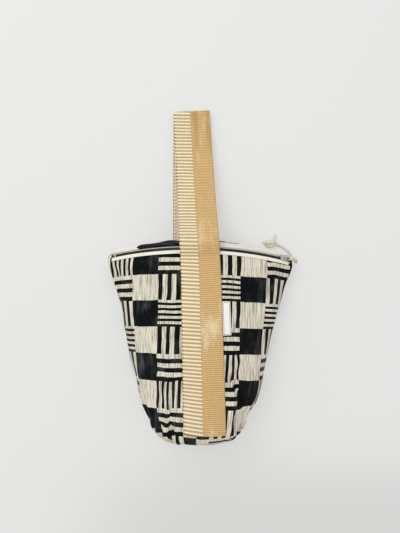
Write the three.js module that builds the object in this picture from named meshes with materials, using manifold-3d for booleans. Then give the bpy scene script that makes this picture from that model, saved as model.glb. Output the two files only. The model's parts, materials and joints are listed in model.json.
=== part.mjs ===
// A tetrahedron bag with a zipped mouth and a webbing strap, lying on its back. Millimetres, +Z up, and the
// mouth is toward +Y.
import * as THREE from 'three';
import { mergeVertices } from 'three/addons/utils/BufferGeometryUtils.js';
import Module from 'manifold-3d';

const wasm = await Module();
wasm.setup();

// The bag's form: the mouth is one wide bowed line, the bottom is one upright seam
const mouthHalfWidth = 124;     // centre seam to a mouth corner
const zipRise = 45;             // height of the zip's middle
const cornerRise = 16;          // height of a mouth corner
const zipBow = 14;              // how far the zip's middle stands ahead of its corners
const bagLength = 245;          // zip line to the furthest point of the bottom end
const bottomDepth = 89;         // height of the bag's top above the floor at the bottom end
const backBulge = 11.6;         // how far the back cloth swells past the zip line
const clothThickness = 1.6;
const seat = 0.3;               // gap between touching pieces

// The strap: one webbing, sewn down the front and the back, free between
const strapWidth = 50;
const strapThickness = 2.2;
const strapReach = 192;         // zip line to the strap's far fold
const strapHump = 13.5;         // how far the strap arches over the zip, so that the slider passes under it
const foldHeight = 6.5;         // height of the upper leg's middle at the fold
const frontLegEnd = 229.3;      // zip line to the lower end of the leg sewn on the front
const backLegEnd = 222;
const backLegShift = -13;       // the back leg's middle beside the front leg's at the mouth
const sewnLean = THREE.MathUtils.degToRad(2.6);
const loopLean = THREE.MathUtils.degToRad(4.7);
const backLoopLean = THREE.MathUtils.degToRad(1);

// The zip: two tapes, two rows of teeth, stops and a slider
const slitHalfWidth = 3;
const mouthFlat = 6;            // zip line to where the cloth turns away from the zip
const tapeThickness = 0.6;
const tapeReach = 8;            // zip line to a tape's sewn edge
const bandWidth = 4.8;
const bandThickness = 1;
const teethHalfWidth = 1.6;
const teethHalfHeight = 1.1;
const beadWidth = 0.6;
const toothPitch = 3.6;
const toothRoot = 1;
const toothHead = 1.4;
const chainEndInset = 17.5;     // mouth corner to the last tooth on the slider's side
const chainFootInset = 7.8;     // mouth corner to the first tooth on the other side, along the zip
const slitEndInset = 4.5;       // mouth corner to the end of the slit, along the zip
const tapeEndInset = 7.1;       // mouth corner to the ends of the tapes and the band, along the zip
const stopLength = 2.4;
const sliderLength = 9.6;
const sliderHalfWidth = 4.2;
const plateThickness = 1.2;
const postHalfWidth = 0.7;

// The pull: a wire ring through the slider's eye, and a knotted cotton cord on it
const wireRadius = 0.6;
const ringRadius = 3.6;
const cordDiameter = 3.6;
const hitchRadius = 3;
const hitchLength = 7;
const pullDroop = THREE.MathUtils.degToRad(-10);

// The label is sewn against the strap's right edge
const labelWidth = 11.5;
const labelLength = 43.5;
const labelThickness = 0.8;
const labelTop = 65;            // zip line to the label's upper end

// The zip line is an arc whose plane leans toward the mouth
const floorCloth = strapThickness + seat;
const sagitta = Math.hypot(zipBow, zipRise - cornerRise);
const arcRadius = (mouthHalfWidth ** 2 + sagitta ** 2) / (2 * sagitta);
const mouthTilt = Math.atan2(zipBow, zipRise - cornerRise);
const arcHalfAngle = Math.asin(mouthHalfWidth / arcRadius);
const radial = new THREE.Vector3(0, Math.sin(mouthTilt), Math.cos(mouthTilt));
const across = new THREE.Vector3(0, Math.cos(mouthTilt), -Math.sin(mouthTilt));
const arcCentre = new THREE.Vector3(0, 0, zipRise).addScaledVector(radial, -arcRadius);
const clothLevel = tapeThickness / 2 + seat + clothThickness;
const angleBeforeCorner = (inset) => arcHalfAngle - inset / arcRadius;

// A point beside the zip line: its angle along the arc, its place across the zip, its height above it
function zipPoint(angle, side, level) {
  return arcCentre.clone()
    .addScaledVector(new THREE.Vector3(1, 0, 0), Math.sin(angle) * (arcRadius + level))
    .addScaledVector(radial, Math.cos(angle) * (arcRadius + level))
    .addScaledVector(across, side);
}

// Solids from closed geometry, and geometry from solids. Faces that point inward are turned round.
function toSolid(geometry) {
  geometry.deleteAttribute('normal');
  geometry.deleteAttribute('uv');
  const merged = mergeVertices(geometry, 1e-4);
  const solid = (triVerts) => new wasm.Manifold(new wasm.Mesh({
    numProp: 3,
    vertProperties: new Float32Array(merged.attributes.position.array),
    triVerts: new Uint32Array(triVerts),
  }));
  const made = solid(merged.index.array);
  return made.volume() > 0 ? made : solid(Array.from(merged.index.array).reverse());
}

function toGeometry(solid) {
  const mesh = solid.getMesh();
  const geometry = new THREE.BufferGeometry();
  geometry.setAttribute('position', new THREE.BufferAttribute(new Float32Array(mesh.vertProperties), 3));
  geometry.setIndex(new THREE.BufferAttribute(new Uint32Array(mesh.triVerts), 1));
  geometry.computeVertexNormals();
  return geometry;
}

function fromFaces(points, faces) {
  const geometry = new THREE.BufferGeometry();
  geometry.setAttribute('position', new THREE.Float32BufferAttribute(points.flatMap((p) => p.toArray()), 3));
  geometry.setIndex(faces);
  return geometry;
}

function boxSolid(low, high) {
  const size = new THREE.Vector3().subVectors(high, low);
  const geometry = new THREE.BoxGeometry(size.x, size.y, size.z);
  geometry.translate((low.x + high.x) / 2, (low.y + high.y) / 2, (low.z + high.z) / 2);
  return toSolid(geometry);
}

// A section of [across, level] points, in order against the clock seen along the zip, swept along the arc
function arcSweep(section, from, to, steps) {
  const points = [];
  for (let k = 0; k <= steps; k++) {
    const angle = from + (to - from) * k / steps;
    section.forEach(([side, level]) => points.push(zipPoint(angle, side, level)));
  }
  return toSolid(fromFaces(points, tubeFaces(section, steps)));
}

// The faces of a tube of equal rings, with both ends closed by the section's own triangles
function tubeFaces(section, steps) {
  const count = section.length;
  const faces = [];
  for (let k = 0; k < steps; k++) {
    for (let j = 0; j < count; j++) {
      const next = (j + 1) % count;
      const [a, b, c, d] = [k * count + j, k * count + next, (k + 1) * count + next, (k + 1) * count + j];
      faces.push(a, b, c, a, c, d);
    }
  }
  const outline = section.map(([u, v]) => new THREE.Vector2(u, v));
  const last = steps * count;
  for (const triangle of THREE.ShapeUtils.triangulateShape(outline, [])) {
    const turned = THREE.ShapeUtils.area(triangle.map((i) => outline[i])) * THREE.ShapeUtils.area(outline) < 0;
    const [a, b, c] = turned ? triangle.toReversed() : triangle;
    faces.push(a, c, b, last + a, last + b, last + c);
  }
  return faces;
}

function rectangle(low, high) {
  return [[low[0], low[1]], [low[0], high[1]], [high[0], high[1]], [high[0], low[1]]];
}

// The bag's rings, bottom end first. Each ring has a half width as a share of the mouth's, then as [y, z]
// the side edge of its top and of its bottom sheet and the middle of both, and last how the two sheets
// are rounded: 1 follows the zip's arc, and smaller is flatter in the middle and rounder at the sides.
const along = (share) => -share * bagLength;
const height = (share) => share * bottomDepth;
const mouthEdge = (side) => {
  const middle = zipPoint(0, side, clothLevel);
  const corner = zipPoint(Math.asin(mouthHalfWidth / (arcRadius + clothLevel)), side, clothLevel);
  return { middle: [middle.y, middle.z], corner: [corner.y, corner.z] };
};
const mouthFront = mouthEdge(-mouthFlat);
const mouthBack = mouthEdge(mouthFlat);
const ring = (half, sideTop, sideBottom, top, bottom, roundTop, roundBottom) => (
  { half, sideTop, sideBottom, top, bottom, roundTop, roundBottom }
);
const ends = (share, middle, half) => (
  [[along(share), height(middle + half)], [along(share), height(middle - half)]]
);
const belly = floorCloth - 1.2; // aimed under the floor, so that the cloth lies flat on it
const [frontMiddle, frontCorner, backCorner] = [mouthFront.middle, mouthFront.corner, mouthBack.corner];
const beside = (point, back, up) => [point[0] + along(back), point[1] + height(up)];
const stations = [
  ring(0.12, ...ends(0.99, 0.5, 0.18), [along(0.976), height(0.88)], [along(0.98), height(0.135)], 0.5, 0.5),
  ring(0.26, ...ends(0.978, 0.49, 0.16), [along(0.965), height(0.94)], [along(0.968), height(0.067)], 0.5, 0.4),
  ring(0.38, ...ends(0.955, 0.47, 0.11), [along(0.947), height(0.985)], [along(0.95), height(0.038)], 0.5, 0.3),
  ring(0.475, ...ends(0.915, 0.43, 0.07), [along(0.918), height(1)], [along(0.922), belly], 0.5, 0.22),
  ring(0.585, ...ends(0.825, 0.37, 0.045), [along(0.83), height(0.98)], [along(0.84), belly], 0.52, 0.16),
  ring(0.67, ...ends(0.706, 0.31, 0.034), [along(0.7), height(0.916)], [along(0.71), belly], 0.55, 0.14),
  ring(0.785, ...ends(0.495, 0.27, 0.034), [along(0.49), height(0.82)], [along(0.5), belly], 0.58, 0.14),
  ring(0.865, ...ends(0.285, 0.236, 0.034), [along(0.278), height(0.725)], [along(0.278), belly], 0.64, 0.14),
  ring(0.935, ...ends(0.17, 0.215, 0.034), [along(0.139), height(0.64)], [along(0.115), belly], 0.76, 0.16),
  ring(0.975, ...ends(0.122, 0.2, 0.036), [along(0.082), height(0.605)], [along(0.012), belly], 0.9, 0.22),
  ring(0.99, beside(frontCorner, 0.026, 0.007), beside(backCorner, 0.05, -0.029),
    beside(frontMiddle, 0.035, 0.028), [0.72 * backBulge, height(0.09)], 0.96, 0.45),
  ring(0.997, beside(frontCorner, 0.014, 0.003), beside(backCorner, 0.017, -0.029),
    beside(frontMiddle, 0.019, 0.016), [backBulge, height(0.236)], 0.99, 0.56),
  ring(1, frontCorner, backCorner, frontMiddle, mouthBack.middle, 1, 1),
];
const acrossCount = 20;
const stepsBetween = 2;

// The zip arc's own rise between corner (0) and middle (1), at a share of the half width
function arcShare(share) {
  const half = Math.sin(arcHalfAngle);
  return (Math.sqrt(1 - (share * half) ** 2) - Math.cos(arcHalfAngle)) / (1 - Math.cos(arcHalfAngle));
}

function stationRing({ half, sideTop, sideBottom, top, bottom, roundTop, roundBottom }) {
  const sheet = (edge, middle, round, turn) => {
    const points = [];
    for (let j = 0; j <= acrossCount; j++) {
      const share = turn * Math.cos(Math.PI * j / acrossCount);
      const rise = Math.max(0, arcShare(Math.abs(share))) ** round;
      points.push(new THREE.Vector3(
        share * half * mouthHalfWidth,
        edge[0] + (middle[0] - edge[0]) * rise,
        edge[1] + (middle[1] - edge[1]) * rise,
      ));
    }
    return points;
  };
  return [...sheet(sideTop, top, roundTop, 1), ...sheet(sideBottom, bottom, roundBottom, -1)];
}

// The bag's outer skin: every point of a ring runs on a smooth curve from station to station
function bagSkin() {
  const rings = stations.map(stationRing);
  const count = rings[0].length;
  const steps = (rings.length - 1) * stepsBetween;
  const curves = rings[0].map((_, j) => new THREE.CatmullRomCurve3(rings.map((ring) => ring[j])));
  const points = [];
  for (let k = 0; k <= steps; k++) {
    for (const curve of curves) {
      const point = curve.getPoint(k / steps);
      point.z = Math.max(point.z, floorCloth);
      points.push(point);
    }
  }
  const faces = [];
  const quad = (a, b, c, d) => faces.push(a, c, b, a, d, c);
  for (let k = 0; k < steps; k++) {
    for (let j = 0; j < count; j++) {
      const next = (j + 1) % count;
      quad(k * count + j, k * count + next, (k + 1) * count + next, (k + 1) * count + j);
    }
  }
  const top = (j) => j;
  const bottom = (j) => acrossCount + 1 + j;
  for (const row of [top, bottom]) {
    for (let j = 0; j < acrossCount / 2 - 1; j++) {
      quad(row(j), row(acrossCount - j), row(acrossCount - j - 1), row(j + 1));
    }
    const middle = acrossCount / 2;
    faces.push(row(middle - 1), row(middle), row(middle + 1));
  }
  quad(top(0), bottom(acrossCount), bottom(0), top(acrossCount));
  const last = steps * count;
  for (let j = 0; j < acrossCount; j++) {
    quad(last + top(j), last + top(j + 1), last + bottom(acrossCount - j - 1), last + bottom(acrossCount - j));
  }
  return fromFaces(points, faces);
}

const skin = bagSkin();
skin.computeVertexNormals();

// The same skin moved outward, or inward where the distance is negative
function skinAt(distance) {
  const geometry = skin.clone();
  const { position, normal } = geometry.attributes;
  for (let i = 0; i < position.count; i++) {
    position.setXYZ(
      i,
      position.getX(i) + normal.getX(i) * distance,
      position.getY(i) + normal.getY(i) * distance,
      position.getZ(i) + normal.getZ(i) * distance,
    );
  }
  return toSolid(geometry);
}

// A layer that follows the skin between two distances
const layer = (low, high) => skinAt(high).subtract(skinAt(low));

const material = (color, roughness, metalness = 0) => (
  new THREE.MeshStandardMaterial({ color, roughness, metalness })
);
const finishes = {
  cloth: material(0x3a3c40, 0.85),
  natural: material(0xe2dcc9, 0.9),
  tape: material(0xd8d2c0, 0.85),
  teeth: material(0x1c1c1e, 0.5),
  webbing: material(0xc9a55c, 0.6),
  metal: material(0x6b6a66, 0.35, 0.9),
  label: material(0xf1f0ec, 0.7),
};

const part = new THREE.Group();
const cordPieces = [];

function add(name, geometry, finish, parent = part) {
  const mesh = new THREE.Mesh(geometry, finish);
  mesh.name = name;
  parent.add(mesh);
  return mesh;
}

// Cloth body: a left and a right piece, joined by one seam down the front, round the bottom and up the back
function makeBody() {
  const far = 400;
  const slitEnd = angleBeforeCorner(slitEndInset);
  const slit = arcSweep(rectangle([-slitHalfWidth, 0], [slitHalfWidth, 2 * clothLevel]), -slitEnd, slitEnd, 30);
  const shell = layer(-clothThickness, 0).subtract(slit);
  const rightSide = boxSolid(new THREE.Vector3(seat / 2, -far, -far), new THREE.Vector3(far, far, far));
  const leftSide = boxSolid(new THREE.Vector3(-far, -far, -far), new THREE.Vector3(-seat / 2, far, far));
  add('body_right', toGeometry(shell.intersect(rightSide)), finishes.cloth);
  add('body_left', toGeometry(shell.intersect(leftSide)), finishes.cloth);
}

// The natural band along the mouth's front edge, and the two tapes under the cloth's edges
function makeMouthTrim() {
  const reach = angleBeforeCorner(tapeEndInset);
  const strip = (section) => toGeometry(arcSweep(section, -reach, reach, 30));
  const bandEdge = slitHalfWidth + seat;
  const bandFloor = clothLevel + seat;
  const band = rectangle([-bandEdge - bandWidth, bandFloor], [-bandEdge, bandFloor + bandThickness]);
  add('rim_band', strip(band), finishes.natural);
  const inner = teethHalfWidth + seat;
  const bend = mouthFlat * 0.7;
  const half = tapeThickness / 2;
  const tapeSection = (side, fall) => {
    const drop = fall * (tapeReach - bend);
    const outer = bend + (tapeReach - bend) * Math.sqrt(1 - fall ** 2);
    const section = [[inner, -half], [inner, half], [bend, half], [outer, half - drop],
      [outer - half, -half - drop], [bend - half, -half]];
    return section.map(([place, level]) => [side * place, level]);
  };
  add('zip_tape_front', strip(tapeSection(-1, 0.3)), finishes.tape);
  add('zip_tape_back', strip(tapeSection(1, 0.9)), finishes.tape);
}

// A row of teeth on its bead: every tooth's head is wider than its root and reaches past the zip line
function toothRow(side, first, count) {
  const outer = side * teethHalfWidth;
  const inner = side * (teethHalfWidth - beadWidth);
  const tip = -side * beadWidth;
  const points = [];
  const faces = [];
  const pair = (along, place) => {
    for (const level of [-teethHalfHeight, teethHalfHeight]) {
      points.push(zipPoint(along / arcRadius, place, level));
    }
    return points.length - 2;
  };
  const quad = (a, b, c, d) => faces.push(a, b, c, a, c, d);
  const wall = (a, b) => quad(b, a, a + 1, b + 1);
  const plates = (a, b, c, d) => {
    quad(a + 1, b + 1, c + 1, d + 1);
    quad(a, d, c, b);
  };
  let outerLast = null;
  let innerLast = null;
  for (let i = 0; i < count; i++) {
    const centre = first + i * toothPitch;
    const outerStart = pair(centre - toothRoot / 2, outer);
    const innerStart = pair(centre - toothRoot / 2, inner);
    if (i === 0) {
      wall(outerStart, innerStart);
    } else {
      plates(outerLast, outerStart, innerStart, innerLast);
      wall(outerStart, outerLast);
      wall(innerLast, innerStart);
    }
    const tipStart = pair(centre - toothHead / 2, tip);
    const tipEnd = pair(centre + toothHead / 2, tip);
    const outerEnd = pair(centre + toothRoot / 2, outer);
    const innerEnd = pair(centre + toothRoot / 2, inner);
    plates(outerStart, outerEnd, innerEnd, innerStart);
    plates(innerStart, innerEnd, tipEnd, tipStart);
    wall(outerEnd, outerStart);
    wall(innerStart, tipStart);
    wall(tipStart, tipEnd);
    wall(tipEnd, innerEnd);
    outerLast = outerEnd;
    innerLast = innerEnd;
  }
  wall(innerLast, outerLast);
  return toGeometry(toSolid(fromFaces(points, faces)));
}

const chainEnd = Math.asin((mouthHalfWidth - chainEndInset) / arcRadius) * arcRadius;
const chainStart = -angleBeforeCorner(chainFootInset) * arcRadius;
const sliderMiddle = chainEnd + sliderLength / 4;

function makeTeeth() {
  const count = Math.floor((chainEnd - chainStart - toothPitch / 2) / toothPitch);
  const frontFirst = chainEnd - toothHead / 2 - (count - 1) * toothPitch;
  add('zip_teeth_front', toothRow(-1, frontFirst, count), finishes.teeth);
  add('zip_teeth_back', toothRow(1, frontFirst - toothPitch / 2, count), finishes.teeth);
  return frontFirst - toothPitch / 2 - toothHead / 2;
}

function makeStops(chainFoot) {
  const stop = (from, low, high) => arcSweep(
    rectangle([low, -teethHalfHeight], [high, teethHalfHeight]),
    from / arcRadius,
    (from + stopLength) / arcRadius,
    1,
  );
  const foot = stop(chainFoot - seat - stopLength, -teethHalfWidth, teethHalfWidth);
  add('zip_bottom_stop', toGeometry(foot), finishes.metal);
  const head = sliderMiddle + sliderLength / 2 + seat;
  const inner = postHalfWidth;
  add('zip_top_stop_front', toGeometry(stop(head, -teethHalfWidth, -inner)), finishes.metal);
  add('zip_top_stop_back', toGeometry(stop(head, inner, teethHalfWidth)), finishes.metal);
}

// The slider's own frame: X along the zip, Y across it, Z out of it
const sliderAngle = sliderMiddle / arcRadius;
const sliderFrame = new THREE.Group();
sliderFrame.position.copy(zipPoint(sliderAngle, 0, 0));
const sideways = new THREE.Vector3(1, 0, 0);
sliderFrame.quaternion.setFromRotationMatrix(new THREE.Matrix4().makeBasis(
  sideways.clone().multiplyScalar(Math.cos(sliderAngle)).addScaledVector(radial, -Math.sin(sliderAngle)),
  across,
  sideways.clone().multiplyScalar(Math.sin(sliderAngle)).addScaledVector(radial, Math.cos(sliderAngle)),
));
const plateFloor = clothLevel + 2 * seat + bandThickness;
const eyeX = sliderLength / 5;
const eyeWall = 1;
const eyeHalf = wireRadius + seat;
const eyeZ = plateFloor + plateThickness + eyeHalf;

// A flat shield in the slider's plane, wide at the divider's end and narrow at the closing end
function shield(halfWidth, low, high) {
  const half = sliderLength / 2;
  const waist = halfWidth * 0.72;
  const outline = new THREE.Shape();
  outline.moveTo(-half, -waist);
  outline.lineTo(half * 0.2, -halfWidth);
  outline.quadraticCurveTo(half, -halfWidth, half, -halfWidth * 0.45);
  outline.lineTo(half, halfWidth * 0.45);
  outline.quadraticCurveTo(half, halfWidth, half * 0.2, halfWidth);
  outline.lineTo(-half, waist);
  const settings = { depth: high - low, bevelEnabled: false, curveSegments: 5 };
  const geometry = new THREE.ExtrudeGeometry(outline, settings);
  geometry.translate(0, 0, low);
  return toSolid(geometry);
}

function block(x, y, z) {
  return boxSolid(new THREE.Vector3(x[0], y[0], z[0]), new THREE.Vector3(x[1], y[1], z[1]));
}

// Two plates joined by the divider post, with flanges that hold the teeth, and an eye for the ring
function makeSlider() {
  const half = sliderLength / 2;
  const channel = teethHalfWidth + seat;
  const clearLevel = teethHalfHeight + seat;
  const flangeEdge = slitHalfWidth - seat;
  const tapeClear = tapeThickness / 2 + seat;
  const lap = 0.1;
  const neck = block([-half, half], [-flangeEdge, flangeEdge], [clearLevel, plateFloor + lap]);
  let slider = shield(sliderHalfWidth, plateFloor, plateFloor + plateThickness).add(neck);
  const lower = shield(sliderHalfWidth, -clearLevel - plateThickness, -clearLevel);
  slider = slider.add(lower);
  for (const side of [-1, 1]) {
    const y = [side * channel, side * flangeEdge].sort((a, b) => a - b);
    slider = slider.add(block([-half, half], y, [tapeClear, clearLevel + lap]));
    slider = slider.add(block([-half, half], y, [-clearLevel - lap, -tapeClear]));
  }
  const postLevel = clearLevel + lap;
  const post = block([half * 0.55, half - lap], [-postHalfWidth, postHalfWidth], [-postLevel, postLevel]);
  slider = slider.add(post);
  const eye = new THREE.Shape();
  const eyeOut = eyeHalf + eyeWall;
  const eyeFoot = plateFloor + plateThickness - lap;
  eye.moveTo(eyeX - eyeOut, eyeFoot);
  eye.lineTo(eyeX + eyeOut, eyeFoot);
  eye.lineTo(eyeX + eyeOut, eyeZ);
  eye.absarc(eyeX, eyeZ, eyeOut, 0, Math.PI);
  eye.lineTo(eyeX - eyeOut, eyeFoot);
  const hole = new THREE.Path();
  hole.absarc(eyeX, eyeZ, eyeHalf, 0, 2 * Math.PI);
  eye.holes.push(hole);
  const arch = new THREE.ExtrudeGeometry(eye, { depth: 2 * wireRadius, bevelEnabled: false, curveSegments: 8 });
  arch.translate(0, 0, -wireRadius);
  arch.rotateX(Math.PI / 2);
  slider = slider.add(toSolid(arch));
  add('zip_slider', toGeometry(slider), finishes.metal, sliderFrame);
}

// The pull's own frame sits in the slider's, at the eye, with X along the ring's reach
const pullFrame = new THREE.Group();
pullFrame.position.set(eyeX, 0, eyeZ);
pullFrame.rotation.y = pullDroop;
sliderFrame.add(pullFrame);
const hitchMiddle = 2 * ringRadius + hitchLength / 2 - wireRadius - seat - 1;
const hitchEnd = hitchMiddle + hitchLength / 2;

function makePull() {
  const ring = new THREE.TorusGeometry(ringRadius, wireRadius, 8, 20);
  ring.translate(ringRadius, 0, 0);
  const ringGap = new THREE.TorusGeometry(ringRadius, wireRadius + seat, 8, 20);
  ringGap.translate(ringRadius, 0, 0);
  add('pull_ring', toGeometry(toSolid(ring)), finishes.metal, pullFrame);
  const waist = hitchRadius * 0.8;
  const profile = new THREE.SplineCurve([
    new THREE.Vector2(cordDiameter / 2, -hitchLength / 2),
    new THREE.Vector2(hitchRadius, -hitchLength / 4),
    new THREE.Vector2(waist, 0),
    new THREE.Vector2(hitchRadius, hitchLength / 4),
    new THREE.Vector2(cordDiameter / 2, hitchLength / 2),
  ]).getPoints(10);
  const outline = [new THREE.Vector2(0, -hitchLength / 2), ...profile, new THREE.Vector2(0, hitchLength / 2)];
  const barrel = new THREE.LatheGeometry(outline, 12);
  barrel.rotateZ(-Math.PI / 2);
  barrel.translate(hitchMiddle, 0, 0);
  const hitch = toSolid(barrel).subtract(toSolid(ringGap));
  cordPieces.push(add('cord_hitch', toGeometry(hitch), finishes.natural, pullFrame));
}

// The cord's route from the hitch down to the floor and back beside the mouth, chosen by hand. X is from the
// mouth's corner, and the knot lies at the route's end.
const cordRoute = [
  [5.8, -13.2, 17.6],
  [7.2, -14.2, 11.5],
  [6.4, -12.6, 6.0],
  [3.6, -7.6, 2.6],
  [-1.2, -0.4, 1.9],
  [-6.8, 4.1, 1.9],
  [-12.2, 7.4, 2.0],
  [-18.5, 9.4, 3.2],
].map(([x, y, z]) => new THREE.Vector3(mouthHalfWidth + x, y, z));
const knotHalf = new THREE.Vector3(11.8, 4.8, 4);
const knotPlace = cordRoute.at(-1).clone().add(new THREE.Vector3(-0.864 * knotHalf.x, 1, 0)).setZ(knotHalf.z);
const tailLength = 12;

// The knot with its loose tail, grown all round by a gap where it cuts the cord that enters it
function knotSolid(grown) {
  const knot = new THREE.SphereGeometry(1, 14, 8);
  knot.scale(knotHalf.x + grown, knotHalf.y + grown, knotHalf.z + grown);
  knot.translate(knotPlace.x, knotPlace.y, knotPlace.z);
  return toSolid(knot);
}

function makeCord() {
  sliderFrame.updateMatrixWorld(true);
  const ahead = (distance) => pullFrame.localToWorld(new THREE.Vector3(hitchEnd + distance, 0, 0));
  const lead = [ahead(seat), ahead(cordDiameter / 2)];
  const path = new THREE.CatmullRomCurve3([...lead, ...cordRoute]);
  const section = new THREE.Shape();
  section.absarc(0, 0, cordDiameter / 2, 0, 2 * Math.PI);
  const tube = new THREE.ExtrudeGeometry(section, {
    steps: 18,
    curveSegments: 4,
    bevelEnabled: false,
    extrudePath: path,
  });
  const cord = toSolid(tube).subtract(knotSolid(seat));
  cordPieces.push(add('pull_cord', toGeometry(cord), finishes.natural));
  const tail = new THREE.CylinderGeometry(cordDiameter * 0.55, cordDiameter * 0.45, tailLength, 8);
  tail.rotateZ(-0.1);
  tail.translate(knotPlace.x + knotHalf.x * 0.56, knotPlace.y + tailLength * 0.625, knotPlace.z * 0.7);
  cordPieces.push(add('pull_cord_knot', toGeometry(knotSolid(0).add(toSolid(tail))), finishes.natural));
  return path;
}

// The strap's legs that are sewn on follow the cloth, with a straight outline that leans a little
const strapHalf = strapWidth / 2;
const bandFall = arcRadius * (1 - Math.cos(Math.asin(strapHalf / arcRadius))) * Math.sin(mouthTilt);
const bandDepth = (slitHalfWidth + bandWidth + 2 * seat) * Math.cos(mouthTilt);
const strapRootY = -bandDepth - bandFall - strapHalf * Math.sin(loopLean);

function leaningPrism(middleX, lean, xRange, yRange, zRange) {
  const geometry = new THREE.BoxGeometry(xRange[1] - xRange[0], yRange[1] - yRange[0], zRange[1] - zRange[0]);
  const [x, y, z] = [xRange, yRange, zRange].map(([low, high]) => (low + high) / 2);
  geometry.translate(x, y - strapRootY, z);
  geometry.rotateZ(lean);
  geometry.translate(middleX, strapRootY, 0);
  return toSolid(geometry);
}

function makeSewnPieces() {
  const webbing = layer(seat, seat + strapThickness);
  const leg = (middleX, end, root, zRange) => {
    const sides = leaningPrism(middleX, sewnLean, [-strapHalf, strapHalf], [-end, strapWidth], zRange);
    const rootEdge = leaningPrism(middleX, loopLean, [-strapWidth, strapWidth], [-2 * end, root], zRange);
    return toGeometry(webbing.intersect(sides).intersect(rootEdge));
  };
  const above = [zipRise, 2 * bottomDepth];
  const below = [-bottomDepth, 3 * floorCloth];
  add('strap_front_leg', leg(0, frontLegEnd, strapRootY, above), finishes.webbing);
  add('strap_back_leg', leg(backLegShift, backLegEnd, -seat, below), finishes.webbing);
  const edge = strapHalf + seat;
  const labelRange = [-labelTop - labelLength, -labelTop];
  const labelLevels = [zipRise / 2, 2 * bottomDepth];
  const patch = leaningPrism(0, sewnLean, [edge, edge + labelWidth], labelRange, labelLevels);
  add('label', toGeometry(layer(seat, seat + labelThickness).intersect(patch)), finishes.label);
}

// A flat band along a path of [x, y, z] middles, its width square to the lean
function ribbon(middles, width, thickness, lean) {
  const wide = new THREE.Vector3(Math.cos(lean), Math.sin(lean), 0).multiplyScalar(width / 2);
  const points = [];
  middles.forEach((middle, i) => {
    const ahead = middles[Math.min(i + 1, middles.length - 1)];
    const behind = middles[Math.max(i - 1, 0)];
    const along = new THREE.Vector3().subVectors(ahead, behind).normalize();
    const up = new THREE.Vector3().crossVectors(wide, along).normalize().multiplyScalar(thickness / 2);
    points.push(
      middle.clone().sub(wide).sub(up),
      middle.clone().sub(wide).add(up),
      middle.clone().add(wide).add(up),
      middle.clone().add(wide).sub(up),
    );
  });
  return toSolid(fromFaces(points, tubeFaces(rectangle([-1, -1], [1, 1]), middles.length - 1)));
}

// The free loop: up over the zip, down to its far fold on the floor, and back under the mouth
const rootShare = (strapRootY - frontMiddle[0]) / (stations.at(-2).top[0] - frontMiddle[0]);
const rootCloth = THREE.MathUtils.lerp(frontMiddle[1], stations.at(-2).top[1], rootShare);
const strapRootZ = rootCloth + seat + strapThickness / 2;

function makeLoop() {
  const floor = strapThickness / 2;
  const drift = (y, lean, start) => start - Math.tan(lean) * (y - strapRootY);
  const far = strapReach - foldHeight / 2 - floor;
  const nearFold = far * 0.957;
  const upper = [
    [strapRootY + 2 * seat, strapRootZ],
    [-0.074 * strapHump, zipRise + strapHump * 0.8],
    [far * 0.037, zipRise + strapHump],
    [far * 0.085, zipRise + strapHump * 0.82],
    [far * 0.24, zipRise * 0.86],
    [far * 0.416, zipRise * 0.58],
    [far * 0.629, zipRise * 0.34],
    [far * 0.826, foldHeight * 1.46],
    [nearFold, foldHeight],
  ].map(([y, z]) => new THREE.Vector3(drift(y, loopLean, 0), y, z));
  const foldX = drift(far, loopLean, 0);
  const turn = [1, 2, 3, 4].map((k) => {
    const angle = Math.PI / 2 - Math.PI * k / 5;
    const radius = (foldHeight - floor) / 2;
    return new THREE.Vector3(foldX, far + radius * Math.cos(angle), floor + radius + radius * Math.sin(angle));
  });
  const lower = [nearFold, far * 0.75, far * 0.5, far * 0.25, 2 * seat]
    .map((y) => new THREE.Vector3(drift(y, backLoopLean, backLegShift), y, floor));
  const path = new THREE.CatmullRomCurve3(upper, false, 'centripetal').getPoints(26);
  const loop = ribbon([...path, ...turn, ...lower], strapWidth, strapThickness, loopLean);
  add('strap_loop', toGeometry(loop), finishes.webbing);
}

makeBody();
makeMouthTrim();
makeStops(makeTeeth());
makeSlider();
makePull();
const cordPath = makeCord();
makeSewnPieces();
makeLoop();
part.add(sliderFrame);

// The origin is under the middle of the bag and strap, on the floor
part.updateMatrixWorld(true);
const bounds = new THREE.Box3();
part.traverse((object) => {
  if (object.isMesh && !cordPieces.includes(object)) {
    bounds.expandByObject(object, true);
  }
});
const centre = bounds.getCenter(new THREE.Vector3());
part.position.set(-centre.x, -centre.y, -bounds.min.z);
part.updateMatrixWorld(true);

console.log('cord length', cordPath.getLength().toFixed(1), 'mm');

export default part;
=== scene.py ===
# A tetrahedron bag of black and natural cloth with a webbing strap, lying on its back and seen from above.
# Shapes are worked out in the CAD's millimetres and put in the frame's metres at the end.
import json
from math import asin, atan2, cos, exp, hypot, pi, radians, sin, sqrt, tan
import bpy
import numpy as np
from numpy.linalg import norm
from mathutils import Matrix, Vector, noise
from mathutils.bvhtree import BVHTree

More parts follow.
